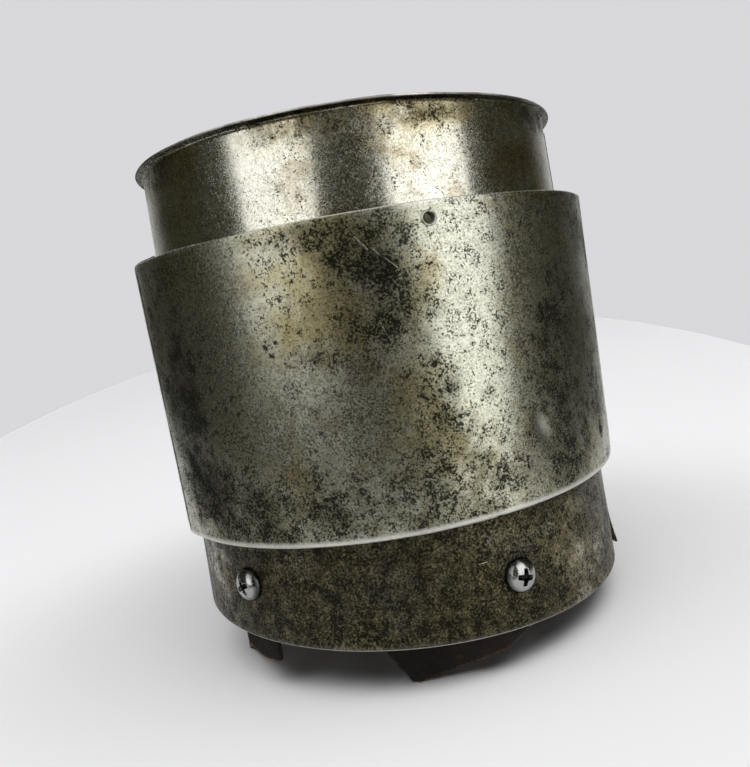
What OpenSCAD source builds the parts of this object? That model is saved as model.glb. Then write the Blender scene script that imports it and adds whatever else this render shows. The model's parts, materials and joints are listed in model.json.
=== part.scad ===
// Chimney charcoal starter: a steel tube on five toothed legs, with a tapered heat shield round it
// and a loose grate inside. Millimetres, +Z up, origin on the floor under the tube's axis.
// Azimuths are in degrees from the front (-Y) towards +X.

/* [Chimney tube] */
// Outer radius of the tube
tube_r = 75; // [74:0.5:77]
// Thickness of the rolled sheet in the tube and the heat shield
sheet_t = 1; // [0.8:0.1:1.2]
// Height of the tube on its axis, from lower edge to rim
tube_h = 156; // [145:1:175]
// Height of the lower edge above the floor, on the axis
floor_gap = 14; // [12:0.5:18]
// Slant of the lower edge, lifted on the -X side
base_slant = 3.3; // [0:0.1:4]
// Slant of the rim, lifted on the -X side
rim_slant = 0.9; // [0:0.1:1.5]
// How far the rim stands out from the tube
rim_overhang = 2.5; // [1.5:0.1:4]
// Thickness of the rolled rim
rim_t = 1.3; // [1:0.1:1.6]
// Azimuth of the middle of the tube's upright lap joint
seam_az = 88; // [86:0.5:88.5]
// Width of that lap joint
seam_w = 13; // [10:1:14]

/* [Heat shield] */
// Height of the shield's lower edge above the floor
shield_z = 47; // [46:0.5:52]
// Height of the shield
shield_h = 91; // [86:1:96]
// Outer radius of the shield at its lower edge
shield_low_r = 79.7; // [79.5:0.1:81]
// Outer radius of the shield at its upper edge
shield_top_r = 83.4; // [83:0.1:85]
// Azimuth of the overlapping sheet's edge
lap_az = -62; // [-70:1:-60]
// Angle over which the lower layer is seen beside that edge
lap_open = 15; // [10:1:18]
// Angle over which the two layers overlap
lap_under = 12; // [8:1:15]
// Rounding of the turned lower edge
hem_r = 1.2; // [1:0.1:1.4]

/* [Eyelets and spacer clips] */
// Azimuth of the front eyelet
eyelet_az = 14.5; // [10:0.5:18]
// Depth of the eyelets below the shield's upper edge
eyelet_drop = 5; // [4.5:0.1:6]
// Radius of the hole through an eyelet
eyelet_bore_r = 1.6; // [1.4:0.05:1.7]
// Width of a spacer clip
clip_w = 9; // [8:0.5:10]
// Length of a spacer clip's upper and lower pads
clip_pad = 10; // [9:0.5:11]

/* [Fuel grate] */
// Radius of the grate
grate_r = 71; // [68:0.5:71.5]
// Thickness of the grate
grate_t = 2; // [1.5:0.1:3]
// Radius of the grate's holes
grate_hole_r = 3.5; // [2.5:0.1:4]
// Distance between rings of holes
grate_pitch = 15; // [14:0.5:16]

/* [Legs] */
// Thickness of the leg plates
leg_t = 1.8; // [1.5:0.1:2]
// Height of a leg, from floor to grate
leg_h = 44; // [43:1:48]
// Angle by which a leg turns inwards from the tube's wall
leg_turn = 33.6; // [28:0.2:36]
// Distance along the leg from its bend to its toe
leg_toe = 26.4; // [22:0.2:28]
// Width of the toe that stands on the floor
toe_w = 2; // [1.5:0.1:3]

/* [Screws] */
// Diameter of the domed head
head_d = 10.2; // [9.5:0.1:10.4]
// Height of the domed head
head_h = 3.9; // [3.4:0.1:4.1]
// Length of the shank under the head
screw_l = 10; // [10:0.5:12]
// Height of the screws above the tube's lower edge, on the axis
screw_z = 15.7; // [15:0.1:16.5]
// Slant of the row of screws, lifted on the -X side
screw_slant = 4.3; // [3:0.1:4.5]

/* [Hidden] */
$fn = 96;
SCREW_AZ = [-42, 24, 98, 172, 246];
LEGS = len(SCREW_AZ);
CLIPS = 3;

EPS = 0.02;
FAR = 400;
RUN = 0.05;

rim_z = floor_gap + tube_h;
tube_in = tube_r - sheet_t;
shield_top = shield_z + shield_h;
shield_taper = (shield_top_r - shield_low_r) / shield_h;
layer_step = sheet_t - 0.1;
hem_in = tube_r + sheet_t + 0.5;

eyelet_z = shield_top - eyelet_drop;
barrel_r = eyelet_bore_r + 0.3;
eyelet_hole_r = barrel_r + RUN;
flange_h = 0.45;
flange_w = 0.75;

clip_t = 1;
clip_low_z = eyelet_z - clip_pad / 2;
clip_pad_x = sqrt(pow(shield_inner(clip_low_z), 2) - pow(clip_w / 2, 2));
clip_foot_z = clip_low_z - 9;
clip_rivet_z = clip_foot_z - clip_pad / 2;
clip_rivet_r = 1.5;
clip_rivet_head = 2.6;

tab_half = 7;
tab_gap = 0.03;
tab_corner = tab_half + leg_t / 2 * tan(leg_turn / 2);
tab_x = sqrt(pow(tube_in - tab_gap, 2) - pow(tab_corner, 2)) - leg_t / 2;
leg_end = leg_toe + toe_w + 8.4;
toe_rise = 12;
TAB_EDGE = [7.5, 10.2, 13];
FIRST_TAB_EDGE = [12.5, 9.6, 9.9];

screw_d = 5;
washer_t = 1;
washer_r = 5;
washer_x = tab_x - leg_t / 2 - washer_t - RUN;
nut_t = 4;
nut_flats = 8;
screw_hole_r = screw_d / 2 + 0.1;

STEEL = [0.45, 0.44, 0.38];
SHIELD = [0.40, 0.39, 0.34];
RUST = [0.24, 0.13, 0.07];
BRIGHT = [0.72, 0.73, 0.74];

// Radius of the shield's outer and inner surfaces at a height
function shield_outer(z) = shield_low_r + (z - shield_z) * shield_taper;
function shield_inner(z) = shield_outer(z) - sheet_t;
// Azimuth of a spacer clip and its eyelet
function clip_az(i) = eyelet_az + i * 360 / CLIPS;
// Height of a screw, which follows the slanted row
function screw_height(az) = floor_gap + screw_z - tube_r * sin(az) * tan(screw_slant);

// Turns a part built along +X to face an azimuth
module at_azimuth(az) {
    rotate([0, 0, az - 90])
        children();
}

// Lies a cylinder along +X from x, at a height
module along_x(x, z, r, l) {
    translate([x, 0, z])
        rotate([0, 90, 0])
            cylinder(r = r, h = l);
}

// Twelve-sided hole under an eyelet's flanges, wide enough across its flats for the barrel
module eyelet_hole(x) {
    translate([x, 0, eyelet_z])
        rotate([0, 90, 0])
            cylinder(r = eyelet_hole_r / cos(15), h = 20, $fn = 12);
}

// A dome whose flat side faces -X: part of a sphere of the given base radius and height
module dome(x, z, r, h) {
    ball = (r * r + h * h) / (2 * h);
    translate([x, 0, z])
        rotate([0, 90, 0])
            intersection() {
                translate([0, 0, h - ball])
                    sphere(r = ball);
                cylinder(r = r + 1, h = h + 1);
            }
}

// A pie slice of the XY plane between two azimuths less than 180 degrees apart
module slice(az_1, az_2) {
    steps = 8;
    translate([0, 0, -1])
        linear_extrude(height = FAR)
            polygon(concat([[0, 0]],
                [for (i = [0:steps]) let (a = az_1 + (az_2 - az_1) * i / steps - 90)
                    FAR * [cos(a), sin(a)]]));
}

// Everything on one side of a plane through the axis at height z, lifted on the -X side
module half_space(z, slant, above) {
    translate([0, 0, z])
        rotate([0, slant, 0])
            translate([-FAR / 2, -FAR / 2, above ? 0 : -FAR])
                cube(FAR);
}

// The lip at the mouth: a rolled sheet edge with a round nose
module rim_lip() {
    nose = rim_t / 2;
    translate([0, 0, rim_z])
        rotate([0, rim_slant, 0])
            rotate_extrude() {
                translate([tube_in - 1, -rim_t])
                    square([sheet_t + rim_overhang + 1 - nose, rim_t]);
                translate([tube_r + rim_overhang - nose, -nose])
                    circle(r = nose, $fn = 32);
            }
}

// Outer layer of the tube's upright lap joint
module lap_joint() {
    at_azimuth(seam_az)
        intersection() {
            difference() {
                cylinder(r = tube_r + sheet_t, h = rim_z - rim_t);
                translate([0, 0, -1])
                    cylinder(r = tube_r - sheet_t / 2, h = FAR);
            }
            translate([tube_r / 2, -seam_w / 2, 0])
                cube([tube_r, seam_w, rim_z - rim_t - 1]);
        }
}

module chimney_tube() {
    color(STEEL)
        difference() {
            union() {
                difference() {
                    union() {
                        cylinder(r = tube_r, h = rim_z + 5);
                        lap_joint();
                    }
                    half_space(rim_z - rim_t / 2, rim_slant, true);
                }
                rim_lip();
            }
            translate([0, 0, -1])
                cylinder(r = tube_in, h = FAR);
            half_space(floor_gap, base_slant, false);
            for (az = SCREW_AZ)
                at_azimuth(az)
                    along_x(tube_r - 10, screw_height(az), screw_hole_r, 20);
            for (i = [0:CLIPS - 1])
                at_azimuth(clip_az(i))
                    along_x(tube_r - 10, clip_rivet_z, clip_rivet_r + RUN, 20);
        }
}

// Points of an arc about [x, y], from angle a to angle b
function arc(x, y, r, a, b, steps) =
    [for (i = [0:steps]) let (t = a + (b - a) * i / steps) [x + r * cos(t), y + r * sin(t)]];

// Section of the shield: a leaning wall and a lower edge turned in to a lip
module shield_section(shift) {
    r_low = shield_low_r - shift;
    r_top = shield_top_r - shift;
    r_hem = r_low - hem_r;
    z_hem = shield_z + hem_r;
    polygon(concat(
        [[hem_in, shield_z]],
        arc(r_hem, z_hem, hem_r, -90, 0, 8),
        [[r_top, shield_top], [r_top - sheet_t, shield_top]],
        arc(r_hem, z_hem, hem_r - sheet_t, 0, -90, 2),
        [[hem_in, shield_z + sheet_t]]
    ));
}

module heat_shield() {
    color(SHIELD)
        difference() {
            union() {
                difference() {
                    rotate_extrude()
                        shield_section(0);
                    slice(lap_az - lap_open, lap_az);
                }
                intersection() {
                    rotate_extrude()
                        shield_section(layer_step);
                    slice(lap_az - lap_open - 2, lap_az + lap_under);
                }
            }
            for (i = [0:CLIPS - 1])
                at_azimuth(clip_az(i))
                    eyelet_hole(shield_low_r - 10);
        }
}

// A rolled flange that widens over the hole, with its flat side facing -X
module eyelet_flange(x) {
    translate([x, 0, eyelet_z])
        rotate([0, 90, 0])
            rotate_extrude()
                translate([eyelet_bore_r, 0])
                    intersection() {
                        translate([flange_w / 2, 0])
                            scale([flange_w / 2 / flange_h, 1])
                                circle(r = flange_h, $fn = 32);
                        square([flange_w, flange_h]);
                    }
}

// Hollow rivet that clinches a spacer clip to the shield
module eyelet(i) {
    x_out = shield_outer(eyelet_z) + 0.1;
    x_in = clip_pad_x - clip_t - RUN;
    color(BRIGHT)
        at_azimuth(clip_az(i)) {
            difference() {
                along_x(x_in - flange_h, eyelet_z, barrel_r, x_out + EPS - x_in + flange_h);
                along_x(x_in - 5, eyelet_z, eyelet_bore_r, 30);
            }
            eyelet_flange(x_out);
            mirror_at(x_in)
                eyelet_flange(x_in);
        }
}

// Reflects a part in the plane at x, across the X axis
module mirror_at(x) {
    translate([2 * x, 0, 0])
        mirror([1, 0, 0])
            children();
}

// Bent strip that holds the shield off the tube: upper pad on the shield, lower pad on the tube
module spacer_clip(i) {
    top_x = clip_pad_x - RUN;
    foot_x = tube_r + RUN;
    color(STEEL)
        at_azimuth(clip_az(i))
            difference() {
                rotate([90, 0, 0])
                    linear_extrude(height = clip_w, center = true)
                        polygon([
                            [top_x, clip_low_z + clip_pad],
                            [top_x, clip_low_z],
                            [foot_x + clip_t, clip_foot_z],
                            [foot_x + clip_t, clip_foot_z - clip_pad],
                            [foot_x, clip_foot_z - clip_pad],
                            [foot_x, clip_foot_z + clip_t],
                            [top_x - clip_t, clip_low_z + clip_t],
                            [top_x - clip_t, clip_low_z + clip_pad]
                        ]);
                eyelet_hole(tube_r);
                along_x(tube_r - 10, clip_rivet_z, clip_rivet_r + RUN, 20);
            }
}

// Solid rivet through a clip's lower pad and the tube, domed at both ends
module clip_rivet(i) {
    x_out = tube_r + RUN + clip_t;
    x_in = sqrt(pow(tube_in, 2) - pow(clip_rivet_head, 2)) - RUN;
    color(BRIGHT)
        at_azimuth(clip_az(i)) {
            along_x(x_in - EPS, clip_rivet_z, clip_rivet_r, x_out - x_in + 2 * EPS);
            dome(x_out, clip_rivet_z, clip_rivet_head, 1.3);
            mirror_at(x_in)
                dome(x_in, clip_rivet_z, clip_rivet_head, 1.2);
        }
}

// Round plate with a centre hole and rings of six, twelve, eighteen and twenty-four
module fuel_grate() {
    color(RUST)
        translate([0, 0, leg_h + RUN])
            difference() {
                cylinder(r = grate_r, h = grate_t);
                for (ring = [0:4])
                    for (k = [0:max(6 * ring, 1) - 1])
                        rotate([0, 0, k * 60 / max(ring, 1) + ring * 7])
                            translate([ring * grate_pitch, 0, -1])
                                cylinder(r = grate_hole_r, h = grate_t + 2, $fn = 32);
            }
}

// Plan of a leg: a flat tab along Y and a plate that turns inwards at the tab's -Y end
module leg_plan() {
    half = leg_t / 2;
    mitre = half * tan(leg_turn / 2);
    run = [-sin(leg_turn), -cos(leg_turn)];
    side = half * [cos(leg_turn), -sin(leg_turn)];
    tip = [tab_x, -tab_half] + leg_end * run;
    polygon([
        [tab_x + half, tab_half],
        [tab_x + half, -tab_half - mitre],
        tip + side,
        tip - side,
        [tab_x - half, -tab_half + mitre],
        [tab_x - half, tab_half]
    ]);
}

// What is cut away below the plate's saw-tooth edge: x along the plate from its bend, y up
module tooth_cut(heel) {
    polygon([[-1, -1], [-1, heel * (1 + 1 / leg_toe)], [leg_toe, 0], [leg_toe, -1]]);
    polygon([
        [leg_toe + toe_w, -1],
        [leg_toe + toe_w, 0],
        [leg_end, toe_rise],
        [leg_end + 5, toe_rise],
        [leg_end + 5, -1]
    ]);
}

// What is cut away below the tab: edge gives the height left at its bend, middle and far side
module tab_cut(edge) {
    polygon([
        [-tab_half, -1],
        [-tab_half, edge[0]],
        [0, edge[1]],
        [tab_half, edge[2]],
        [tab_half + 5, edge[2]],
        [tab_half + 5, -1]
    ]);
}

// Stands a drawing of x along and y up on end, thick enough to cut through a plate
module upright_cut() {
    rotate([90, 0, 0])
        linear_extrude(height = 10, center = true)
            children();
}

// Leg: a tab screwed to the wall and a toothed plate turned inwards, which carries the grate
module leg(i) {
    az = SCREW_AZ[i];
    edge = i == 0 ? FIRST_TAB_EDGE : TAB_EDGE;
    color(RUST)
        at_azimuth(az)
            difference() {
                linear_extrude(height = leg_h)
                    leg_plan();
                translate([tab_x, -tab_half, 0])
                    rotate([0, 0, -90 - leg_turn])
                        upright_cut()
                            tooth_cut(edge[0]);
                translate([tab_x, 0, 0])
                    rotate([0, 0, 90])
                        upright_cut()
                            tab_cut(edge);
                along_x(tab_x - 20, screw_height(az), screw_hole_r, 40);
            }
}

// Pan head screw with a cross recess
module screw(i) {
    az = SCREW_AZ[i];
    z = screw_height(az);
    recess_w = 1.2;
    recess_l = 4.6;
    recess_h = 1.9;
    color(BRIGHT)
        at_azimuth(az) {
            along_x(tube_r - screw_l, z, screw_d / 2, screw_l + EPS);
            difference() {
                dome(tube_r, z, head_d / 2, head_h);
                for (turn = [20, 110])
                    translate([tube_r + head_h, 0, z])
                        rotate([turn, 0, 0])
                            cube([2 * recess_h, recess_w, recess_l], center = true);
            }
        }
}

module washer(i) {
    az = SCREW_AZ[i];
    color(STEEL)
        at_azimuth(az)
            difference() {
                along_x(washer_x, screw_height(az), washer_r, washer_t);
                along_x(washer_x - 1, screw_height(az), screw_hole_r, washer_t + 2);
            }
}

// Hexagon nut with a plain bore at the thread's crest
module nut(i) {
    az = SCREW_AZ[i];
    color(STEEL)
        at_azimuth(az)
            difference() {
                translate([washer_x - nut_t - RUN, 0, screw_height(az)])
                    rotate([0, 90, 0])
                        cylinder(d = nut_flats / cos(30), h = nut_t, $fn = 6);
                along_x(washer_x - nut_t - 1, screw_height(az), screw_d / 2 + RUN, nut_t + 2);
            }
}

chimney_tube();
heat_shield();
fuel_grate();
for (i = [0:CLIPS - 1]) {
    eyelet(i);
    spacer_clip(i);
    clip_rivet(i);
}
for (i = [0:LEGS - 1]) {
    leg(i);
    screw(i);
    washer(i);
    nut(i);
}
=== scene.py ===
"""Looks of the chimney charcoal starter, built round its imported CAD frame. Metres, +Z up.

Azimuths are in degrees from the front (-Y) towards +X, as in the CAD source.
"""
import json
import math

import bpy
import numpy as np
from mathutils import Euler, Matrix, Vector


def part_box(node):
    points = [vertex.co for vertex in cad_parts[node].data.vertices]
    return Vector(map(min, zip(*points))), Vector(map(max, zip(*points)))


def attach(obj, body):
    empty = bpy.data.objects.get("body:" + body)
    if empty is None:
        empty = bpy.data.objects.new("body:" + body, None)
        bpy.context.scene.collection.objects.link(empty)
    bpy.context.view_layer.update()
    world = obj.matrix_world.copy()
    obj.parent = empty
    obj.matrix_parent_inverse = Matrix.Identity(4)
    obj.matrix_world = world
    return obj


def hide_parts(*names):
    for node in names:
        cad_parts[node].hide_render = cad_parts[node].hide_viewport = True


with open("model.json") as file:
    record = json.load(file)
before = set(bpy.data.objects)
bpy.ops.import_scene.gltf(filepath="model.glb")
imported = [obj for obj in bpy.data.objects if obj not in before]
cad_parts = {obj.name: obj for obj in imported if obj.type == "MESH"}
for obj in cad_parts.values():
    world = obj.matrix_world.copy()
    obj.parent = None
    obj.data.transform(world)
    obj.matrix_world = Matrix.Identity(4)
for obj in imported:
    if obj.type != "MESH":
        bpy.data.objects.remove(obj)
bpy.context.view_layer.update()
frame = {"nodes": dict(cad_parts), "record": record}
NODES = frame["nodes"]
MM = 0.001

# ---------------------------------------------------------------- sizes taken from the frame
tube_lo, tube_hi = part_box("chimney_tube")
shield_lo, shield_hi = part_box("heat_shield")
mounts = {m["name"]: m for m in frame["record"]["mounts"]}

RIM_Z = mounts["rim_rest"]["pos_m"][2]
RIM_R = tube_hi.x
RIM_OVERHANG = 2.5 * MM
TUBE_R = RIM_R - RIM_OVERHANG
SHEET_T = 1.0 * MM
FLOOR_GAP = 14 * MM
BASE_SLOPE = math.tan(math.radians(3.3))
RIM_SLOPE = math.tan(math.radians(0.9))
# The tube's lap joint: where it starts, and the angle it spans
SEAM_AZ = 83.0
SEAM_W_DEG = 10.0

SHIELD_Z = shield_lo.z
SHIELD_TOP = shield_hi.z
SHIELD_TOP_R = shield_hi.x
SHIELD_TAPER = 3.7 * MM
SHIELD_LOW_R = SHIELD_TOP_R - SHIELD_TAPER
# The shield's lap: its free edge, the angle of under layer seen beside it, and the overlap
LAP_AZ = -62.0
LAP_OPEN = 15.0
LAP_UNDER = 12.0
# The turned lower edge: its rounding, and how far in its lip reaches
HEM_R = 1.2 * MM
HEM_IN = TUBE_R + SHEET_T + 0.5 * MM
EYELET_HOLE_R = 1.95 * MM


def at(az, r, z):
    """Point at an azimuth, radius and height."""
    a = math.radians(az)
    return (r * math.sin(a), -r * math.cos(a), z)


def azimuth_of(x, y):
    return math.degrees(math.atan2(x, -y))


def centre(node):
    lo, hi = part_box(node)
    return (lo + hi) / 2


# ---------------------------------------------------------------- camera, lights and floor
def make_camera():
    """The photograph's view: level, rolled, a little right of the axis, and framed by a shift."""
    roll = -0.1675
    side, distance, above_base = 0.0303, 3.6812, 1.2991
    eye = (side * TUBE_R, -distance * TUBE_R, above_base * TUBE_R + FLOOR_GAP)
    camera = bpy.data.objects.new("camera", bpy.data.cameras.new("camera"))
    bpy.context.scene.collection.objects.link(camera)
    camera.data.sensor_width = 36
    camera.data.lens = 33.5
    camera.data.shift_y = -0.100
    camera.data.clip_start = 0.01
    camera.location = eye
    camera.rotation_mode = "QUATERNION"
    right = (math.cos(roll), 0, math.sin(roll))
    up = (-math.sin(roll), 0, math.cos(roll))
    back = (0, -1, 0)
    camera.rotation_quaternion = Matrix((right, up, back)).transposed().to_quaternion()
    bpy.context.scene.camera = camera


def soft_light(name, az, elevation, distance, half_angles, radiance, for_gloss):
    """A rectangular light that faces the object's middle and spans the given half angles from it.

    It is seen either in gloss alone, or by the floor and dull surfaces alone.
    """
    light = bpy.data.lights.new(name, "AREA")
    light.shape = "RECTANGLE"
    light.size = 2 * distance * math.tan(math.radians(half_angles[0]))
    light.size_y = 2 * distance * math.tan(math.radians(half_angles[1]))
    light.energy = radiance * math.pi * light.size * light.size_y
    obj = bpy.data.objects.new(name, light)
    bpy.context.scene.collection.objects.link(obj)
    aim = Vector((0, 0, 0.09))
    flat = distance * math.cos(math.radians(elevation))
    obj.location = Vector(at(az, flat, distance * math.sin(math.radians(elevation)))) + aim
    obj.rotation_mode = "QUATERNION"
    obj.rotation_quaternion = (aim - obj.location).to_track_quat("-Z", "Y")
    obj.visible_camera = False
    obj.visible_diffuse = not for_gloss
    obj.visible_glossy = for_gloss


def make_world():
    """Gloss shows a dim warm room with a pale wall behind the object. The floor is lit from above."""
    world = bpy.data.worlds.new("room")
    bpy.context.scene.world = world
    world.use_nodes = True
    tree = world.node_tree
    tree.nodes.clear()

    def ramp(value, lo, hi, to_lo=0.0):
        node = tree.nodes.new("ShaderNodeMapRange")
        node.interpolation_type = "SMOOTHSTEP"
        node.inputs["From Min"].default_value = lo
        node.inputs["From Max"].default_value = hi
        node.inputs["To Min"].default_value = to_lo
        tree.links.new(value, node.inputs["Value"])
        return node.outputs[0]

    def product(a, b):
        node = tree.nodes.new("ShaderNodeMath")
        node.operation = "MULTIPLY"
        tree.links.new(a, node.inputs[0])
        tree.links.new(b, node.inputs[1])
        return node.outputs[0]

    def blend(fac, *colours):
        node = tree.nodes.new("ShaderNodeMix")
        node.data_type = "RGBA"
        tree.links.new(fac, node.inputs[0])
        for colour, socket in zip(colours, (node.inputs[6], node.inputs[7])):
            if isinstance(colour, tuple):
                socket.default_value = (*colour, 1)
            else:
                tree.links.new(colour, socket)
        return node.outputs[2]

    coord = tree.nodes.new("ShaderNodeTexCoord")
    split = tree.nodes.new("ShaderNodeSeparateXYZ")
    tree.links.new(coord.outputs["Generated"], split.inputs[0])
    behind, upward = split.outputs["Y"], split.outputs["Z"]
    path = tree.nodes.new("ShaderNodeLightPath")
    room = blend(ramp(behind, 0.50, 0.98), (0.046, 0.045, 0.028), (0.62, 0.63, 0.64))
    gloss = blend(path.outputs["Is Glossy Ray"], (0, 0, 0), room)
    band = product(ramp(upward, 0.60, 0.80), ramp(upward, 0.97, 0.86))
    sky = product(band, ramp(behind, 0.65, -0.30, 0.25))
    glow = blend(sky, (0.01, 0.01, 0.01), (3.80, 3.80, 3.84))
    lit = tree.nodes.new("ShaderNodeBackground")
    tree.links.new(blend(path.outputs["Is Diffuse Ray"], gloss, glow), lit.inputs["Color"])
    seen = tree.nodes.new("ShaderNodeBackground")
    seen.inputs["Color"].default_value = (0.69, 0.69, 0.715, 1)
    mix = tree.nodes.new("ShaderNodeMixShader")
    tree.links.new(path.outputs["Is Camera Ray"], mix.inputs[0])
    tree.links.new(lit.outputs[0], mix.inputs[1])
    tree.links.new(seen.outputs[0], mix.inputs[2])
    out = tree.nodes.new("ShaderNodeOutputWorld")
    tree.links.new(mix.outputs[0], out.inputs[0])


def make_floor():
    """A long oval pale table top. Its near edge stops just in front of the object."""
    half_w, half_l, turn, thick, sides = 0.773, 3.70, 0.076, 0.02, 512
    middle = (-0.276, 3.47)
    rim = []
    for i in range(sides):
        t = 2 * math.pi * i / sides
        x, y = half_w * math.cos(t), half_l * math.sin(t)
        px = middle[0] + x * math.cos(turn) - y * math.sin(turn)
        py = middle[1] + x * math.sin(turn) + y * math.cos(turn)
        rim.append((px, py, 0.0))
    low = [(x, y, -thick) for x, y, z in rim]
    faces = [tuple(range(sides)), tuple(reversed(range(sides, 2 * sides)))]
    faces += [(i, i + sides, (i + 1) % sides + sides, (i + 1) % sides) for i in range(sides)]
    mesh = bpy.data.meshes.new("floor")
    mesh.from_pydata(rim + low, [], faces)
    floor = bpy.data.objects.new("floor", mesh)
    bpy.context.scene.collection.objects.link(floor)
    material = bpy.data.materials.new("floor")
    material.use_nodes = True
    shader = material.node_tree.nodes["Principled BSDF"]
    shader.inputs["Base Color"].default_value = (0.86, 0.86, 0.865, 1)
    shader.inputs["Roughness"].default_value = 0.6
    shader.inputs["Specular IOR Level"].default_value = 0.15
    mesh.materials.append(material)


make_camera()
make_world()
make_floor()
soft_light("window_left", -37, 27, 1.2, (20, 32), 1.75, True)
soft_light("window_right", 42, 17, 1.2, (21, 42), 2.0, True)
soft_light("overhead", 180, 75, 1.3, (30, 30), 1.3, True)
soft_light("key", 35, 72, 1.2, (25, 20), 0.95, False)


# ---------------------------------------------------------------- noise for shapes and stains
def lattice(cells, seed):
    """A repeatable random number from 0 to 1 for each whole-number point."""
    h = cells.astype(np.int64) @ np.array([73856093, 19349663, 83492791]) + seed * 668265263
    h = (h ^ (h >> 13)) * 1274126177
    h = h & 0x7FFFFFFF
    return ((h ^ (h >> 16)) & 0xFFFF) / 65535.0


def noise(points, cell, seed=0, octaves=3):
    """Smooth noise from 0 to 1 whose largest features are about cell metres wide."""
    total, weight, amount = 0.0, 0.0, 1.0
    for octave in range(octaves):
        turn = np.array(Euler((0.9 + octave, 0.6 + 2.1 * octave, 0.3 + seed)).to_matrix())
        q = points @ turn / cell * 2 ** octave + 17.3 * octave
        base = np.floor(q)
        f = q - base
        f = f * f * (3 - 2 * f)
        value = 0.0
        for corner in np.ndindex(2, 2, 2):
            c = np.array(corner)
            w = np.prod(np.where(c, f, 1 - f), axis=1)
            value = value + w * lattice(base + c, seed + octave)
        total, weight = total + amount * value, weight + amount
        amount *= 0.5
    return total / weight


def smooth(x, lo, hi):
    """0 below lo, 1 above hi, and smooth between."""
    t = np.clip((x - lo) / (hi - lo), 0, 1)
    return t * t * (3 - 2 * t)


def spot(az, z, az_0, z_0, wide, tall, lean=0.0):
    """A soft spot from 1 to 0 on a wall. wide and tall are its half sizes in metres, lean in degrees."""
    u = np.radians((az - az_0 + 180) % 360 - 180) * TUBE_R
    v = z - z_0
    c, s = math.cos(math.radians(lean)), math.sin(math.radians(lean))
    return np.exp(-(((u * c + v * s) / wide) ** 2 + ((v * c - u * s) / tall) ** 2))


# ---------------------------------------------------------------- sheets built from a section
def link(name, mesh, smooth_shade=True):
    obj = bpy.data.objects.new(name, mesh)
    bpy.context.scene.collection.objects.link(obj)
    if smooth_shade:
        mesh.shade_smooth()
        mesh.set_sharp_from_angle(angle=math.radians(50))
    return obj


def sheet(name, az, outer, thickness, closed):
    """A sheet of one thickness with rounded edges. outer[i, j] is its outer face's (radius, height)."""
    n, m = outer.shape[:2]
    along = np.gradient(outer, axis=1)
    along /= np.linalg.norm(along, axis=2, keepdims=True)
    normal = np.stack([along[..., 1], -along[..., 0]], axis=2)
    inner = outer - normal * thickness

    def round_edge(k, direction, angles):
        middle = (outer[:, k] + inner[:, k]) / 2
        past_end = direction * along[:, k]
        ring = []
        for t in np.radians(angles):
            ring.append(middle + thickness / 2 * (math.cos(t) * normal[:, k] + math.sin(t) * past_end))
        return np.stack(ring, axis=1)

    loop = np.concatenate([outer, round_edge(-1, 1, (45, 90, 135)), inner[:, ::-1],
                           round_edge(0, -1, (135, 90, 45))], axis=1)
    size = loop.shape[1]
    a = np.radians(az)[:, None]
    r, z = loop[..., 0], loop[..., 1]
    points = np.stack([r * np.sin(a), -r * np.cos(a), z], axis=2).reshape(-1, 3)
    i = np.arange(n if closed else n - 1)[:, None]
    here, there = np.arange(size)[None, :], (np.arange(size)[None, :] + 1) % size
    row, next_row = i * size, (i + 1) % n * size
    quads = np.stack([row + here, next_row + here, next_row + there, row + there], axis=2)
    faces = quads.reshape(-1, 4).tolist()
    if not closed:
        for start, flip in ((0, 1), ((n - 1) * size, -1)):
            back = start + 2 * m + 2
            for j in range(m - 1):
                faces.append([start + j, start + j + 1, back - j - 1, back - j][::flip])
            faces.append([start + m - 1 + k for k in range(5)][::flip])
            faces.append([back, back + 1, back + 2, back + 3, start][::flip])
    mesh = bpy.data.meshes.new(name)
    mesh.from_pydata(points.tolist(), [], faces)
    mesh.validate()
    return link(name, mesh)


def wall_grid(az, outer, radius):
    """Azimuths, heights and rough positions of a sheet's points, for its waves and dents."""
    flat = np.repeat(az[:, None], outer.shape[1], axis=1)
    z = outer[..., 1].copy()
    a = np.radians(flat)
    p = np.stack([radius * np.sin(a), -radius * np.cos(a), z], axis=2).reshape(-1, 3)
    return flat, z, p


def paint(obj, **masks):
    """Stores a 0 to 1 mask for each point, which the materials read by name."""
    for name, values in masks.items():
        layer = obj.data.attributes.new(name, "FLOAT", "POINT")
        layer.data.foreach_set("value", np.clip(values, 0, 1).astype(np.float32))


def points_of(obj):
    co = np.empty(len(obj.data.vertices) * 3, np.float32)
    obj.data.vertices.foreach_get("co", co)
    return co.reshape(-1, 3).astype(float)


def polar(points):
    return np.degrees(np.arctan2(points[:, 0], -points[:, 1])), points[:, 2]


def arc(cx, cz, r, a, b, steps):
    t = np.radians(np.linspace(a, b, steps))
    return [(cx + r * math.cos(k), cz + r * math.sin(k)) for k in t]


SCREWS = [f"screw_{i}" for i in range(1, 6)]
SCREW_AT = [(azimuth_of(*centre(s)[:2]), centre(s).z) for s in SCREWS]


# ---------------------------------------------------------------- chimney tube
def tube_section(az):
    """Outer face of the tube at one azimuth, from its lower edge up the wall and out along the lip."""
    x = TUBE_R * math.sin(math.radians(az))
    low = FLOOR_GAP - BASE_SLOPE * x
    rim = RIM_Z - RIM_SLOPE * x
    bend = 1.7 * MM
    lip = 1.1 * MM
    wall = np.linspace(low + SHEET_T / 2, rim - lip - bend, 118)
    return (
        [(TUBE_R, z) for z in wall]
        + arc(TUBE_R + bend, rim - lip - bend, bend, 172, 96, 6)
        + [(RIM_R - SHEET_T / 2, rim - lip - 0.02 * MM)]
    )


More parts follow.
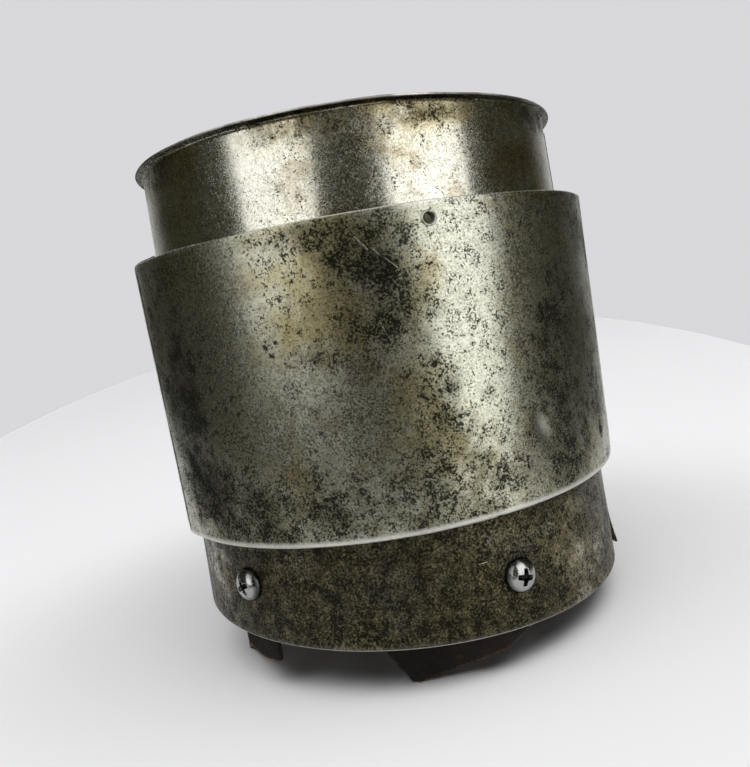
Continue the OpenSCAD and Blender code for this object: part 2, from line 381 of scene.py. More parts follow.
def make_tube():
    az = np.linspace(-180, 180, 520, endpoint=False)
    outer = np.array([tube_section(a) for a in az])
    flat, z, p = wall_grid(az, outer, TUBE_R)
    wave = (noise(p, 0.045, 3, 2) - 0.5).reshape(z.shape)
    ripple = (noise(p, 0.012, 4, 2) - 0.5).reshape(z.shape)
    on_wall = smooth(z, 0.012, 0.022) * (1 - smooth(z, 0.160, 0.167))
    outer[..., 0] += (0.5 * wave + 0.07 * ripple) * MM * (0.25 + 0.75 * on_wall)
    for az_0, z_0 in SCREW_AT:
        outer[..., 0] -= 0.25 * MM * spot(flat, z, az_0, z_0, 9 * MM, 9 * MM)
    lip_end = smooth(z, RIM_Z - 6 * MM, RIM_Z - 2 * MM)
    outer[..., 1] += 0.5 * MM * (noise(p, 0.02, 5, 2) - 0.5).reshape(z.shape) * lip_end
    tube = sheet("tube_wall", az, outer, SHEET_T, True)
    q = points_of(tube)
    stain_tube(tube, q, *polar(q))
    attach(tube, "starter")
    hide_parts("chimney_tube")
    return tube


def make_tube_lap():
    """Outer layer of the tube's lap joint, whose lower corner has sprung away from the wall."""
    az = np.linspace(SEAM_AZ, SEAM_AZ + SEAM_W_DEG, 30)
    rows = 90
    low = np.array([FLOOR_GAP - BASE_SLOPE * TUBE_R * math.sin(math.radians(a)) for a in az])
    top = RIM_Z - 6 * MM
    t = np.linspace(0, 1, rows)[None, :]
    z = low[:, None] + 0.6 * MM + (top - low[:, None]) * t
    r = np.full_like(z, TUBE_R + SHEET_T + 0.02 * MM)
    out = np.clip(1 - (az[:, None] - SEAM_AZ) / 6, 0, 1) ** 2
    up = np.clip(1 - (z - low[:, None]) / (14 * MM), 0, 1) ** 1.6
    r += 1.7 * MM * out * up
    fade = np.clip((az[:, None] - SEAM_AZ - SEAM_W_DEG + 2.5) / 2.5, 0, 1)
    r -= 0.8 * MM * fade
    lap = sheet("tube_lap", az, np.stack([r, z], axis=2), 0.9 * MM, False)
    q = points_of(lap)
    stain_tube(lap, q, *polar(q))
    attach(lap, "starter")
    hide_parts("chimney_tube")
    return lap


# Black blots near the tube's lower edge: azimuth, height in metres, and half size in mm
TUBE_BLOTS = [(9, 0.020, 1.3), (12, 0.025, 2.0), (14, 0.016, 2.2), (30, 0.016, 1.2)]


def stain_tube(obj, q, az, z):
    """Where the tube is sooty, golden or worn bright, and where shade is painted: under the lip and below
    the shield's hem.
    """
    broad = noise(q, 0.030, 21, 3)
    fine = noise(q, 0.008, 22, 3)
    r = np.hypot(q[:, 0], q[:, 1])
    low = 1 - smooth(z, 0.050, 0.070)
    inside = r < TUBE_R - 0.5 * SHEET_T
    dark = 0.14 + 0.76 * low + 0.9 * low * (broad - 0.5) + 0.6 * (noise(q, 0.018, 23, 3) - 0.5)
    dark += 0.34 * spot(az, z, -8, 0.024, 0.046, 0.022) + 0.30 * spot(az, z, 8, 0.018, 0.016, 0.006)
    dark -= 0.34 * spot(az, z, -58, 0.034, 0.020, 0.026) + 0.10 * spot(az, z, 30, 0.036, 0.026, 0.012)
    # A thin dark band across the front just below the shield's hem: a painted shadow of the hem.
    dark += 0.8 * spot(az, z, -8, 0.0475, 0.090, 0.0032)
    # Just under the lip the wall is darker as painted shade from the lip, and browner with tarnish (gold,
    # below).
    under_lip = smooth(z, 0.1570, 0.1640)
    dark += 0.42 * under_lip - 0.40 * spot(az, z, -32, 0.160, 0.018, 0.007)
    dark += 0.30 * spot(az, z, -55, 0.150, 0.016, 0.012) + 0.25 * spot(az, z, 8, 0.157, 0.005, 0.006)
    for az_0, z_0 in SCREW_AT:
        dark += 0.80 * spot(az, z, az_0 + 1.0, z_0 - 1.6 * MM, 6.4 * MM, 7.5 * MM)
    for az_0, z_0, size in TUBE_BLOTS:
        dark += 0.9 * spot(az, z, az_0, z_0, size * MM, size * MM)
    # The outward bend and the lip are darkened: painted shade on the lip's underside.
    lip = smooth(r, TUBE_R + 0.3 * MM, TUBE_R + 0.8 * MM) * (z > RIM_Z - 9 * MM)
    dark += 0.9 * lip + 0.7 * inside
    gold = 0.35 + 0.6 * smooth(broad, 0.48, 0.68) + 1.2 * under_lip + 0.6 * low
    gold -= 0.3 * spot(az, z, 24, 0.148, 0.012, 0.012) + 0.9 * spot(az, z, -27, 0.148, 0.014, 0.018)
    gold += 1.2 * spot(az, z, -1.5, 0.1615, 0.012, 0.004) + 0.9 * spot(az, z, 7.4, 0.156, 0.004, 0.007)
    gold += 0.9 * spot(az, z, 40, 0.154, 0.010, 0.014) - 0.7 * spot(az, z, -58, 0.034, 0.022, 0.020)
    worn = 0.85 * spot(az, z, 47.5, 0.152, 0.005, 0.010) * smooth(fine, 0.50, 0.60)
    worn += 0.45 * spot(az, z, -27, 0.160, 0.020, 0.007) * smooth(fine, 0.42, 0.58)
    top = z - (RIM_Z - RIM_SLOPE * q[:, 0])
    on_lip = (r > TUBE_R + 1.5 * MM) * smooth(top, -0.95 * MM, -0.60 * MM)
    worn += on_lip * (0.50 + 0.9 * smooth(fine, 0.35, 0.6))
    edge = z - (FLOOR_GAP - BASE_SLOPE * q[:, 0])
    worn += 0.9 * (1 - smooth(edge, 0.20 * MM, 0.55 * MM))
    paint(obj, dark=dark, gold=gold, worn=worn)


# ---------------------------------------------------------------- heat shield
def shield_section(drop):
    """Outer face of the shield, from the end of its turned-in lip up to its raw top edge."""
    low_r, top_r = SHIELD_LOW_R - drop, SHIELD_TOP_R - drop
    wall = np.linspace(0.012, 1, 70)
    lift = SHIELD_TOP - SHEET_T / 2 - SHIELD_Z - HEM_R
    hem = arc(low_r - HEM_R, SHIELD_Z + HEM_R, HEM_R, -90, 0, 9)
    return (
        [(HEM_IN + SHEET_T / 2, SHIELD_Z), ((HEM_IN + low_r - HEM_R) / 2, SHIELD_Z)]
        + hem
        + [(low_r + (top_r - low_r) * t, SHIELD_Z + HEM_R + lift * t) for t in wall]
    )


def cut_round_holes(obj, places, radius):
    """Cuts radial round holes through a wall at each (azimuth, height)."""
    for az, z in places:
        sides, reach = 40, 12 * MM
        a = math.radians(az)
        out = np.array([math.sin(a), -math.cos(a), 0])
        along = np.array([math.cos(a), math.sin(a), 0])
        up = np.array([0, 0, 1])
        middle = out * SHIELD_TOP_R + up * z
        ring = [radius * (math.cos(t) * along + math.sin(t) * up)
                for t in np.linspace(0, 2 * math.pi, sides, endpoint=False)]
        verts = [tuple(middle + r - out * reach / 2) for r in ring]
        verts += [tuple(middle + r + out * reach / 2) for r in ring]
        faces = [tuple(reversed(range(sides))), tuple(range(sides, 2 * sides))]
        faces += [(i, (i + 1) % sides, (i + 1) % sides + sides, i + sides) for i in range(sides)]
        mesh = bpy.data.meshes.new("cutter")
        mesh.from_pydata(verts, [], faces)
        cutter = link("cutter", mesh, False)
        cut = obj.modifiers.new("hole", "BOOLEAN")
        cut.operation, cut.solver, cut.object = "DIFFERENCE", "EXACT", cutter
        graph = bpy.context.evaluated_depsgraph_get()
        result = bpy.data.meshes.new_from_object(obj.evaluated_get(graph))
        obj.modifiers.clear()
        obj.data = result
        bpy.data.objects.remove(cutter)


def make_shield():
    """One sheet rolled past its own end: the free edge lies outside at LAP_AZ, over the other end."""
    turn = 360 + LAP_UNDER
    az = LAP_AZ + np.linspace(0, turn, 560)
    tail = LAP_AZ + 360
    drop = 0.62 * MM * smooth(az, tail - LAP_OPEN - 9, tail - LAP_OPEN)
    drop += 0.50 * MM * smooth(az, tail, tail + 8)
    drop -= 0.48 * MM * (1 - smooth(az, LAP_AZ, LAP_AZ + 9))
    outer = np.array([shield_section(d) for d in drop])
    flat, z, p = wall_grid(az, outer, SHIELD_TOP_R)
    wave = (noise(p, 0.050, 7, 2) - 0.5).reshape(z.shape)
    ripple = (noise(p, 0.010, 8, 2) - 0.5).reshape(z.shape)
    above_hem = smooth(z, SHIELD_Z + HEM_R, SHIELD_Z + 8 * MM)
    outer[..., 0] += (0.55 * wave + 0.06 * ripple) * MM * above_hem
    dents = (
        0.75 * spot(flat, z, -49.5, 0.0717, 2.6 * MM, 7.5 * MM, 38)
        + 0.35 * spot(flat, z, -44.8, 0.0661, 1.4 * MM, 2.0 * MM)
        + 0.55 * spot(flat, z, 34.3, 0.0677, 2.2 * MM, 6.0 * MM, 20)
        + 0.45 * spot(flat, z, 59, 0.0606, 1.2 * MM, 2.4 * MM)
        + 0.35 * spot(flat, z, 140, 0.090, 6 * MM, 9 * MM)
        + 0.30 * spot(flat, z, 215, 0.110, 8 * MM, 5 * MM)
    )
    outer[..., 0] -= dents * MM
    nicks = smooth(noise(p, 0.0035, 9, 2), 0.66, 0.8).reshape(z.shape)
    outer[..., 0] -= 0.35 * MM * nicks * (1 - smooth(z, SHIELD_Z + 0.8 * MM, SHIELD_Z + 2 * MM))
    top = smooth(z, SHIELD_TOP - 4 * MM, SHIELD_TOP)
    outer[..., 1] += 0.5 * MM * (noise(p, 0.02, 10, 2) - 0.55).reshape(z.shape) * top
    under = smooth(az, tail - 14, tail - 9)[:, None]
    outer[..., 1] += 0.9 * MM * under * top
    shield = sheet("shield_sheet", az, outer, SHEET_T, False)
    bores = [m["pos_m"] for n, m in sorted(mounts.items()) if n.startswith("bail_hole")]
    cut_round_holes(shield, [(azimuth_of(b[0], b[1]), b[2]) for b in bores], EYELET_HOLE_R)
    q = points_of(shield)
    stain_shield(shield, q, *polar(q))
    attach(shield, "starter")
    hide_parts("heat_shield")
    return shield


# Sooty and clean places on the shield: azimuth, height in metres, half sizes in mm, and how much soot
SHIELD_SOOT = [
    (-52, 0.115, 18, 30, 0.30), (-48, 0.085, 12, 22, 0.25), (0, 0.110, 15, 26, 0.26),
    (10, 0.090, 9, 14, 0.34), (4, 0.122, 8, 5, 0.30), (3, 0.106, 5, 5, 0.35),
    (-12, 0.100, 5, 4, 0.25), (-25, 0.060, 34, 9, 0.16), (-46, 0.062, 12, 12, 0.10),
    (-5, 0.060, 14, 10, 0.16), (27, 0.125, 8, 5, 0.25), (40, 0.100, 10, 34, 0.22),
    (21, 0.083, 3, 2, 0.30), (14, 0.086, 3, 2, 0.30), (24, 0.100, 13, 40, -0.40),
    (19, 0.120, 12, 14, -0.20), (-28, 0.112, 13, 16, -0.34), (-24, 0.088, 12, 10, -0.20),
    (-60, 0.070, 7, 22, -0.26), (150, 0.080, 20, 16, 0.30), (210, 0.110, 22, 14, 0.28),
    (110, 0.070, 16, 12, 0.22),
]


def stain_shield(obj, q, az, z):
    """Where the shield is sooty, golden or worn bright, and where a shadow is painted beside its lap edge.
    """
    broad = noise(q, 0.036, 31, 3)
    middle = noise(q, 0.014, 32, 3)
    r = np.hypot(q[:, 0], q[:, 1])
    face_r = SHIELD_LOW_R + SHIELD_TAPER * (z - SHIELD_Z) / (SHIELD_TOP - SHIELD_Z)
    inside = (r < face_r - 1.3 * MM) & (z > SHIELD_Z + 2 * HEM_R)
    dark = 0.19 + 0.34 * smooth(0.5 * broad + 0.5 * middle, 0.42, 0.66)
    for az_0, z_0, wide, tall, amount in SHIELD_SOOT:
        dark += amount * spot(az, z, az_0, z_0, wide * MM, tall * MM)
    dark += 0.12 * (1 - smooth(z, 0.056, 0.084))
    dark += 0.8 * spot(az, z, -49.5, 0.0717, 2.2 * MM, 6.5 * MM, 38)
    dark += 0.6 * spot(az, z, -44.8, 0.0661, 1.2 * MM, 1.8 * MM)
    dark += 0.9 * spot(az, z, 59, 0.0606, 0.9 * MM, 2.2 * MM)
    # The under layer beside the free lap edge is darkened: a painted shadow of the lifted edge.
    past_lap = (az - LAP_AZ + 180) % 360 - 180
    lap_edge = (past_lap > -7) & (past_lap < 1.0)
    dark += 1.2 * lap_edge * smooth(past_lap, -7.0, -0.6) * smooth(middle, 0.2, 0.6) + 0.5 * inside
    gold = 0.35 + 0.8 * smooth(noise(q, 0.022, 33, 3), 0.46, 0.64)
    gold += 0.8 * spot(az, z, -8, 0.105, 0.012, 0.026) + 0.5 * spot(az, z, 1, 0.112, 0.010, 0.012)
    gold += 0.7 * spot(az, z, -2, 0.078, 0.012, 0.014) + 0.5 * spot(az, z, 31, 0.112, 0.006, 0.020)
    gold -= 0.5 * spot(az, z, 19, 0.110, 0.016, 0.030) + 0.4 * spot(az, z, -56, 0.085, 0.010, 0.050)
    gold -= 0.7 * spot(az, z, -28, 0.114, 0.013, 0.020)
    worn = 0.55 * spot(az, z, 34.0, 0.0690, 1.6 * MM, 3.6 * MM, 20)
    worn += 0.9 * (1 - smooth(z, SHIELD_Z + 1.3 * MM, SHIELD_Z + 1.8 * MM))
    worn += smooth(z, SHIELD_TOP - 0.55 * MM, SHIELD_TOP - 0.3 * MM)
    paint(obj, dark=dark, gold=gold, worn=worn)


# ---------------------------------------------------------------- screws
def screw_form():
    """Points and faces of a pan head screw along +X: its seat at x = 0, a cross recess and a cut thread."""
    lo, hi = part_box("screw_3")
    head_r = (hi.z - lo.z) / 2
    head_h = 2.9 * MM
    shank, crest, pitch, depth = 10 * MM, 2.5 * MM, 0.8 * MM, 0.42 * MM
    wing, wing_w, recess = 2.5 * MM, 0.74 * MM, 1.9 * MM
    sides = 120
    rings = [(-shank - 0.2 * MM, 1.6 * MM)]
    rings += [(-shank + t * MM, crest) for t in np.arange(0.1, 9.9, 0.1)]
    rings += [(0, crest), (0, head_r - 0.15 * MM), (0.15 * MM, head_r)]
    steps = 46
    rings += [(None, head_r * (1 - k / steps)) for k in range(1, steps)]
    points = [(-shank - 0.25 * MM, 0.0, 0.0)]
    for x, r in rings:
        for k in range(sides):
            t = 2 * math.pi * k / sides
            px, pr = x, r
            if x is None:
                y, z = r * math.cos(t), r * math.sin(t)
                dome = head_h * (1 - (r / head_r) ** 2.4) ** 0.62
                arm = max(min(abs(y), abs(z)) - wing_w * (1.15 - 0.35 * r / wing), r - wing)
                deep = recess * (1 - 0.55 * (r / wing) ** 2)
                px = 0.15 * MM + dome - deep * (1 - float(smooth(arm, -0.14 * MM, 0.10 * MM)))
            elif r == crest and x < 0:
                wave = (x / pitch - t / (2 * math.pi)) % 1
                pr = r - depth * abs(2 * wave - 1)
            points.append((px, pr * math.cos(t), pr * math.sin(t)))
    points.append((0.15 * MM + head_h - recess, 0.0, 0.0))
    last = len(points) - 1
    faces = [(0, 1 + (k + 1) % sides, 1 + k) for k in range(sides)]
    for j in range(len(rings) - 1):
        for k in range(sides):
            p, q = 1 + j * sides + k, 1 + j * sides + (k + 1) % sides
            faces.append((p, q, q + sides, p + sides))
    base = last - sides
    faces += [(base + k, base + (k + 1) % sides, last) for k in range(sides)]
    return np.array(points), faces


def make_screws():
    points, faces = screw_form()
    for i, (az, z) in enumerate(SCREW_AT):
        out = np.array(at(az, 1, 0))
        along = np.array(at(az + 90, 1, 0))
        up = np.array((0.0, 0.0, 1.0))
        spin = math.radians(25 + 50 * i)
        side = along * math.cos(spin) + up * math.sin(spin)
        rise = up * math.cos(spin) - along * math.sin(spin)
        placed = points[:, :1] * out + points[:, 1:2] * side + points[:, 2:] * rise
        placed += out * TUBE_R + up * z
        mesh = bpy.data.meshes.new(f"screw_body_{i + 1}")
        mesh.from_pydata(placed.tolist(), [], faces)
        screw = link(f"screw_body_{i + 1}", mesh)
        flat = np.hypot(points[:, 1], points[:, 2])
        # The cross recess and a ring round the dome's rim are darkened: painted shade in the recess and at
        # the rim.
        sunk = smooth(3.0 * MM - points[:, 0], 0.5 * MM, 1.3 * MM)
        sunk = sunk * (flat < 2.7 * MM) * (points[:, 0] > 0)
        paint(screw, dirt=sunk + 0.85 * smooth(flat, 3.5 * MM, 4.9 * MM))
        mesh.materials.append(MATERIALS["screw"])
        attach(screw, "starter")
        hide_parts(SCREWS[i])


# ---------------------------------------------------------------- rusted plates
def make_rusty_copy(node, name, voxel, relief, seed):
    """A worn copy of a CAD plate: finely meshed, with flaked faces and ragged edges, flat on the floor."""
    source = NODES[node]
    obj = link(name, source.data.copy())
    obj.data.materials.clear()
    mesher = obj.modifiers.new("mesh", "REMESH")
    mesher.mode, mesher.voxel_size = "VOXEL", voxel
    graph = bpy.context.evaluated_depsgraph_get()
    mesh = bpy.data.meshes.new_from_object(obj.evaluated_get(graph))
    obj.modifiers.clear()
    obj.data = mesh
    co = points_of(obj)
    normals = np.empty(len(mesh.vertices) * 3, np.float32)
    mesh.vertices.foreach_get("normal", normals)
    normals = normals.reshape(-1, 3)
    flakes = smooth(noise(co, 0.006, seed, 3), 0.45, 0.65) - 0.6
    pits = noise(co, 0.0016, seed + 5, 2) - 0.5
    move = relief * (0.7 * flakes + 0.6 * pits)
    low = 1 - smooth(co[:, 2], 0.3 * MM, 1.2 * MM)
    co += normals * (move * (1 - low))[:, None]
    co[:, 2] = np.maximum(co[:, 2], 0)
    mesh.vertices.foreach_set("co", co.astype(np.float32).ravel())
    mesh.update()
    mesh.shade_smooth()
    # Marks the faces that look down, which are the plates' lower edges.
    paint(obj, edge=smooth(-normals[:, 2], 0.25, 0.7))
    return obj


# ---------------------------------------------------------------- materials
class Graph:
    """Short names for building a material's nodes."""

    def __init__(self, name):
        self.material = bpy.data.materials.new(name)
        self.material.use_nodes = True
        self.tree = self.material.node_tree
        self.shader = self.tree.nodes["Principled BSDF"]
        coord = self.tree.nodes.new("ShaderNodeTexCoord")
        self.position = coord.outputs["Object"]

    def link(self, value, socket):
        if isinstance(value, (int, float, tuple)):
            socket.default_value = value
        else:
            self.tree.links.new(value, socket)

    def math(self, kind, a, b, clamp=False):
        node = self.tree.nodes.new("ShaderNodeMath")
        node.operation, node.use_clamp = kind, clamp
        self.link(a, node.inputs[0])
        self.link(b, node.inputs[1])
        return node.outputs[0]

    def noise(self, cell, detail=4.0, rough=0.55, distortion=0.0):
        """Noise from about 0.2 to 0.8 with features cell metres wide."""
        node = self.tree.nodes.new("ShaderNodeTexNoise")
        self.link(self.position, node.inputs["Vector"])
        node.inputs["Scale"].default_value = 1 / cell
        node.inputs["Detail"].default_value = detail
        node.inputs["Roughness"].default_value = rough
        node.inputs["Distortion"].default_value = distortion
        return node.outputs["Fac"]

    def cells(self, cell):
        node = self.tree.nodes.new("ShaderNodeTexVoronoi")
        self.link(self.position, node.inputs["Vector"])
        node.inputs["Scale"].default_value = 1 / cell
        return node.outputs["Distance"]

    def step(self, value, lo, hi, to_lo=0.0, to_hi=1.0):
        """Smoothly maps lo..hi to to_lo..to_hi."""
        node = self.tree.nodes.new("ShaderNodeMapRange")
        node.interpolation_type = "SMOOTHSTEP"
        for value_in, socket in zip((value, lo, hi, to_lo, to_hi), list(node.inputs)[:5]):
            self.link(value_in, socket)
        return node.outputs[0]

    def mix(self, fac, a, b):
        node = self.tree.nodes.new("ShaderNodeMix")
        node.data_type = "RGBA"
        self.link(fac, node.inputs[0])
        self.link(a if not isinstance(a, tuple) else (*a, 1), node.inputs[6])
        self.link(b if not isinstance(b, tuple) else (*b, 1), node.inputs[7])
        return node.outputs[2]

    def scaled(self, colour, factor):
        node = self.tree.nodes.new("ShaderNodeVectorMath")
        node.operation = "SCALE"
        self.link(colour, node.inputs[0])
        self.link(factor, node.inputs["Scale"])
        return node.outputs[0]

    def mask(self, name):
        node = self.tree.nodes.new("ShaderNodeAttribute")
        node.attribute_name = name
        return node.outputs["Fac"]

    def vector(self, kind, a, b=(0, 0, 0), output=0):
        node = self.tree.nodes.new("ShaderNodeVectorMath")
        node.operation = kind
        self.link(a, node.inputs[0])
        self.link(b, node.inputs[1])
        return node.outputs[output]

    def distance_to(self, where, a, b):
        """Distance in metres from each point to the straight line piece from a to b."""
        a, b = Vector(a), Vector(b)
        run = b - a
        from_a = self.vector("SUBTRACT", where, tuple(a))
        if run.length == 0:
            return self.vector("LENGTH", from_a, output=1)
        share = self.vector("DOT_PRODUCT", from_a, tuple(run / run.length_squared), 1)
        share = self.math("MINIMUM", self.math("MAXIMUM", share, 0.0), 1.0)
        along = self.scaled(tuple(run), share)
        return self.vector("LENGTH", self.vector("SUBTRACT", from_a, along), output=1)

    def marks(self, places, wall_r, half_width, ragged):
        """1 on the listed marks and 0 off them. A mark is a line through (azimuth, height in mm) points."""
        wobble = self.tree.nodes.new("ShaderNodeTexNoise")
        self.link(self.position, wobble.inputs["Vector"])
        wobble.inputs["Scale"].default_value = 1 / (4 * half_width)
        shift = self.scaled(self.vector("SUBTRACT", wobble.outputs["Color"], (0.5, 0.5, 0.5)), ragged)
        where = self.vector("ADD", self.position, shift)
        nearest = None
        for mark in places:
            spots = [at(az, wall_r(z * MM), z * MM) for az, z in mark]
            for a, b in zip(spots, spots[1:] or spots):
                d = self.distance_to(where, a, b)
                nearest = d if nearest is None else self.math("MINIMUM", nearest, d)
        return self.step(nearest, half_width, 0.5 * half_width)

    def bump(self, height, distance, strength):
        node = self.tree.nodes.new("ShaderNodeBump")
        node.inputs["Distance"].default_value = distance
        node.inputs["Strength"].default_value = strength
        self.link(height, node.inputs["Height"])
        return node.outputs[0]

    def finish(self, colour, metallic, rough, normal):
        self.link(colour, self.shader.inputs["Base Color"])
        self.link(metallic, self.shader.inputs["Metallic"])
        self.link(rough, self.shader.inputs["Roughness"])
        self.link(normal, self.shader.inputs["Normal"])
        return self.material


def shield_wall(z):
    return SHIELD_LOW_R + SHIELD_TAPER * (z - SHIELD_Z - HEM_R) / (SHIELD_TOP - SHIELD_Z - HEM_R)


def scattered(seed, count, az, z, wide, tall):
    """Random pits round one place, as (azimuth, height in mm) points. Every other one is a short line."""
    rng = np.random.default_rng(seed)
    pits = []
    for i in range(count):
        start = (az + wide * rng.uniform(-1, 1), z + tall * rng.uniform(-1, 1))
        end = (start[0] + rng.uniform(-0.9, 0.9), start[1] + rng.uniform(-1.0, 1.0))
        pits.append([start, end] if i % 2 else [start])
    return pits


# Bright scratches on the shield and the tube, as (azimuth, height in mm) points
SHIELD_SCRATCHES = [
    [(3, 127), (4, 125)], [(5, 124), (7, 121)], [(2, 107), (4, 100)], [(9, 104), (11, 103)],
    [(-28, 114), (-24, 111)], [(-13, 115), (-13, 112)], [(0, 131), (2, 127)],
    [(150, 96), (156, 90)], [(200, 120), (203, 112)], [(240, 80), (247, 83)], [(100, 110), (103, 103)],
]
TUBE_SCRATCHES = [[(15, 34), (17, 34)], [(-46, 152), (-45, 147)], [(-3, 158), (1, 158)]]

# Groups of black pits on the shield and the tube
SHIELD_PITS = (
    scattered(51, 8, -34, 91, 5, 7) + scattered(52, 7, 11, 89, 4, 5) + scattered(53, 5, 4, 118, 3, 9)
    + scattered(54, 4, -14, 106, 9, 5) + scattered(55, 3, 35, 125, 1, 5)
)
TUBE_PITS = (
    scattered(56, 4, -25, 39, 3, 6) + scattered(57, 2, 17, 40, 1, 2) + scattered(58, 6, 4, 25, 36, 5)
)


def old_steel(name, clean, gold, grime_and_shade, soot_and_shade, roughness, pepper, blotch, soft, wall_r, pits, scratches):
    """Cleaned old sheet steel: olive tarnish, sooty blotches and specks, pits, grain and worn edges.
    The dark mask also holds painted shade, which these sooty colours paint as well.

    pepper is how many black specks there are, blotch the share of large blots in the sooty and shaded
    cover, and soft how gently that cover fades out.
    """
    g = Graph(name)
    clouds = g.noise(0.028, 4, 0.6)
    hues = g.noise(0.010, 4, 0.6, distortion=0.5)
    blots = g.noise(0.0070, 9, 0.76, distortion=0.3)
    clusters = g.noise(0.0042, 4, 0.66)
    mottle = g.noise(0.0017, 5, 0.80)
    specks = g.noise(0.00068, 3, 0.72)
    sand = g.noise(0.00055, 2, 0.8)
    # The dark mask holds soot, and painted shade under the tube's lip, below the shield's hem and beside
    # the shield's lap.
    soot_and_shade_mask = g.mask("dark")
    scratched = g.marks(scratches, wall_r, 0.17 * MM, 0.30 * MM)
    scratched = g.math("MULTIPLY", scratched, g.step(specks, 0.38, 0.60, 0.1, 0.9))
    worn = g.math("MAXIMUM", g.mask("worn"), scratched)
    pitted = g.marks(pits, wall_r, 0.75 * MM, 1.1 * MM)

    tarnish = g.math("MULTIPLY", g.step(clouds, 0.36, 0.60), g.mask("gold"), clamp=True)
    colour = g.mix(g.math("MULTIPLY", tarnish, 0.85), clean, gold)
    brown = g.math("MULTIPLY", g.step(hues, 0.47, 0.34), g.step(g.mask("gold"), 0.0, 0.35, 0.08, 0.40))
    colour = g.mix(brown, colour, (0.24, 0.165, 0.09))
    cover = g.math("ADD", g.math("MULTIPLY", blots, blotch), g.math("MULTIPLY", mottle, 1 - blotch))
    cover = g.math("ADD", cover, g.math("MULTIPLY", soot_and_shade_mask, 0.46))
    stain_and_shade = g.step(cover, 0.74 - soft, 0.74 + soft)
    tone = g.math("ADD", g.math("MULTIPLY", mottle, 0.35), g.math("MULTIPLY", clusters, 0.20))
    tone = g.math("ADD", tone, g.math("MULTIPLY", specks, 0.45))
    depth = g.step(g.math("ADD", tone, g.math("MULTIPLY", soot_and_shade_mask, 0.17)), 0.54, 0.69)
    # The grime and soot colours, which also paint the shade that the dark mask holds.
    dirt = g.mix(depth, grime_and_shade, soot_and_shade)
    colour = g.mix(g.math("MULTIPLY", stain_and_shade, 0.95), colour, dirt)
    level = g.math("SUBTRACT", 0.70 - pepper, g.math("MULTIPLY", stain_and_shade, 0.11))
    level = g.math("SUBTRACT", level, g.math("MULTIPLY", g.step(clusters, 0.44, 0.62), 0.11))
    black = g.step(g.math("SUBTRACT", specks, level), -0.01, 0.04)
    black = g.math("MAXIMUM", black, pitted)
    colour = g.mix(g.math("MULTIPLY", black, 0.90), colour, (0.012, 0.012, 0.008))
    grain = g.math("ADD", g.math("MULTIPLY", sand, 0.6), g.math("MULTIPLY", mottle, 0.4))
    tone = g.step(grain, 0.34, 0.64, 0.42, 1.28)
    colour = g.mix(worn, g.scaled(colour, tone), (0.62, 0.61, 0.56))

    rough = g.math("ADD", roughness, g.math("MULTIPLY", stain_and_shade, 0.22))
    rough = g.math("ADD", rough, g.math("MULTIPLY", black, 0.20))
    rough = g.math("ADD", rough, g.step(sand, 0.3, 0.7, -0.05, 0.06), clamp=True)
    height = g.math("SUBTRACT", g.math("MULTIPLY", sand, 0.30), black)
    return g.finish(colour, 1.0, rough, g.bump(height, 0.00008, 0.21))


def rusted_plate(name, scale, scale_warm, rust):
    """Burnt plate: black-brown scale, flakes of rust, and a lighter orange-brown where faces look down."""
    g = Graph(name)
    clouds = g.noise(0.012, 6, 0.65)
    crust = g.noise(0.003, 5, 0.7)
    pits = g.cells(0.0012)
    colour = g.mix(g.step(clouds, 0.44, 0.68), scale, scale_warm)
    colour = g.mix(g.step(crust, 0.60, 0.74), colour, rust)
    # Faces that look down are tinted a lighter orange-brown.
    lower_edge_tint = g.math("MULTIPLY", g.mask("edge"), g.step(crust, 0.35, 0.55))
    colour = g.mix(lower_edge_tint, colour, (0.21, 0.12, 0.035))
    colour = g.mix(g.step(pits, 0.25, 0.05), colour, (0.010, 0.008, 0.006))
    g.shader.inputs["Specular IOR Level"].default_value = 0.18
    rough = g.step(crust, 0.3, 0.7, 0.62, 0.90)
    height = g.math("ADD", crust, g.math("MULTIPLY", pits, 0.4))
    return g.finish(colour, 0.0, rough, g.bump(height, 0.0005, 0.7))


def dull_steel(name):
    g = Graph(name)
    clouds = g.noise(0.004, 5, 0.65)
    grain = g.noise(0.0006, 3, 0.7)
    colour = g.mix(g.step(clouds, 0.38, 0.62), (0.20, 0.19, 0.165), (0.09, 0.055, 0.030))
    colour = g.mix(g.step(grain, 0.60, 0.70), colour, (0.02, 0.018, 0.015))
    rough = g.step(clouds, 0.3, 0.7, 0.38, 0.60)
    return g.finish(colour, 0.85, rough, g.bump(grain, 0.0001, 0.5))


def bright_steel(name, colour, roughness):
    """Polished fixing metal with a little soil and fine wear. Screws also get painted shade in the recess
    and round the head's rim.
    """
    g = Graph(name)
    soil = g.noise(0.0022, 5, 0.7)
    wear = g.noise(0.0004, 3, 0.7)
    tint = g.mix(g.step(soil, 0.56, 0.72), colour, (0.10, 0.09, 0.07))
    # Darkens where the screws carry painted shade, in the recess and round the head's rim.
    tint = g.mix(g.mask("dirt"), tint, (0.012, 0.011, 0.009))
    rough = g.math("ADD", roughness, g.step(soil, 0.5, 0.7, 0.0, 0.25))
    rough = g.math("ADD", rough, g.step(wear, 0.4, 0.7, 0.0, 0.06))
    return g.finish(tint, 1.0, rough, g.bump(wear, 0.00004, 0.4))


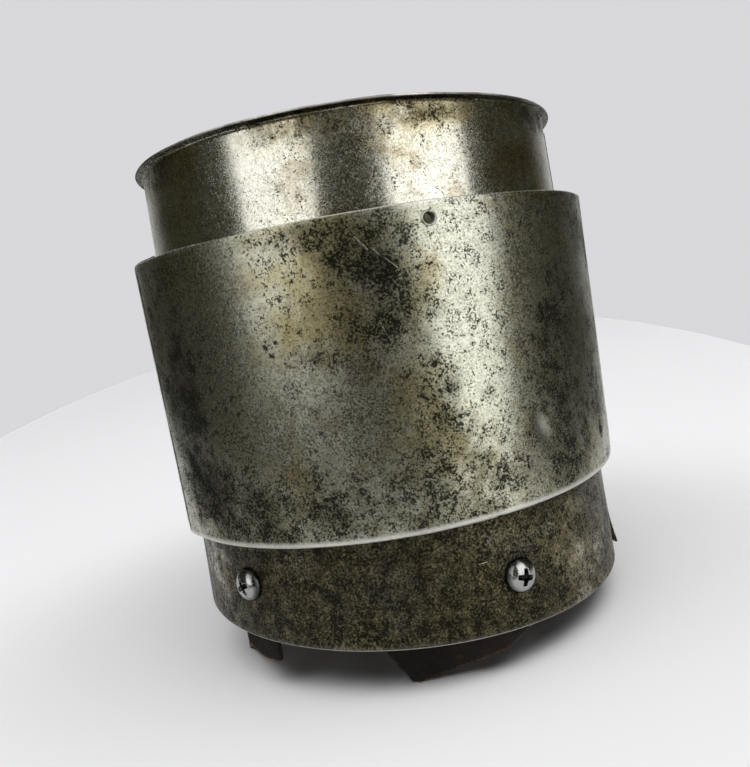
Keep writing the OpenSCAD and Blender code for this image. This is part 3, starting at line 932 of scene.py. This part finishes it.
MATERIALS = {
    "tube": old_steel(
        "tube_steel", clean=(0.60, 0.59, 0.51), gold=(0.40, 0.33, 0.15), grime_and_shade=(0.17, 0.145, 0.078),
        soot_and_shade=(0.012, 0.011, 0.006), roughness=0.19, pepper=0.030, blotch=0.62, soft=0.13,
        wall_r=lambda z: TUBE_R, pits=TUBE_PITS, scratches=TUBE_SCRATCHES),
    "shield": old_steel(
        "shield_steel", clean=(0.48, 0.485, 0.40), gold=(0.31, 0.26, 0.12), grime_and_shade=(0.13, 0.125, 0.075),
        soot_and_shade=(0.020, 0.020, 0.012), roughness=0.27, pepper=0.078, blotch=0.50, soft=0.17,
        wall_r=shield_wall, pits=SHIELD_PITS, scratches=SHIELD_SCRATCHES),
    "leg": rusted_plate(
        "leg_plate", scale=(0.006, 0.005, 0.003), scale_warm=(0.017, 0.010, 0.005),
        rust=(0.070, 0.036, 0.012)),
    "grate": rusted_plate(
        "grate_plate", scale=(0.050, 0.036, 0.025), scale_warm=(0.120, 0.070, 0.040),
        rust=(0.230, 0.110, 0.045)),
    "dull": dull_steel("dull_steel"),
    "screw": bright_steel("screw_steel", (0.36, 0.37, 0.36), 0.16),
    "eyelet": bright_steel("eyelet_steel", (0.50, 0.49, 0.43), 0.30),
}


def finish_with(obj, key):
    obj.data.materials.clear()
    obj.data.materials.append(MATERIALS[key])


# ---------------------------------------------------------------- the object
finish_with(make_tube(), "tube")
finish_with(make_tube_lap(), "tube")
finish_with(make_shield(), "shield")
make_screws()

for i in range(1, 6):
    leg = make_rusty_copy(f"leg_{i}", f"leg_plate_{i}", voxel=0.45 * MM, relief=0.26 * MM, seed=40 + i)
    finish_with(leg, "leg")
    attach(leg, "starter")
    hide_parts(f"leg_{i}")

for name, obj in NODES.items():
    family = name.rsplit("_", 1)[0]
    if family in ("washer", "nut", "spacer_clip", "clip_rivet"):
        finish_with(obj, "dull")
    elif family == "eyelet":
        finish_with(obj, "eyelet")
    elif name == "fuel_grate":
        finish_with(obj, "grate")

bpy.context.scene.view_settings.view_transform = "Standard"
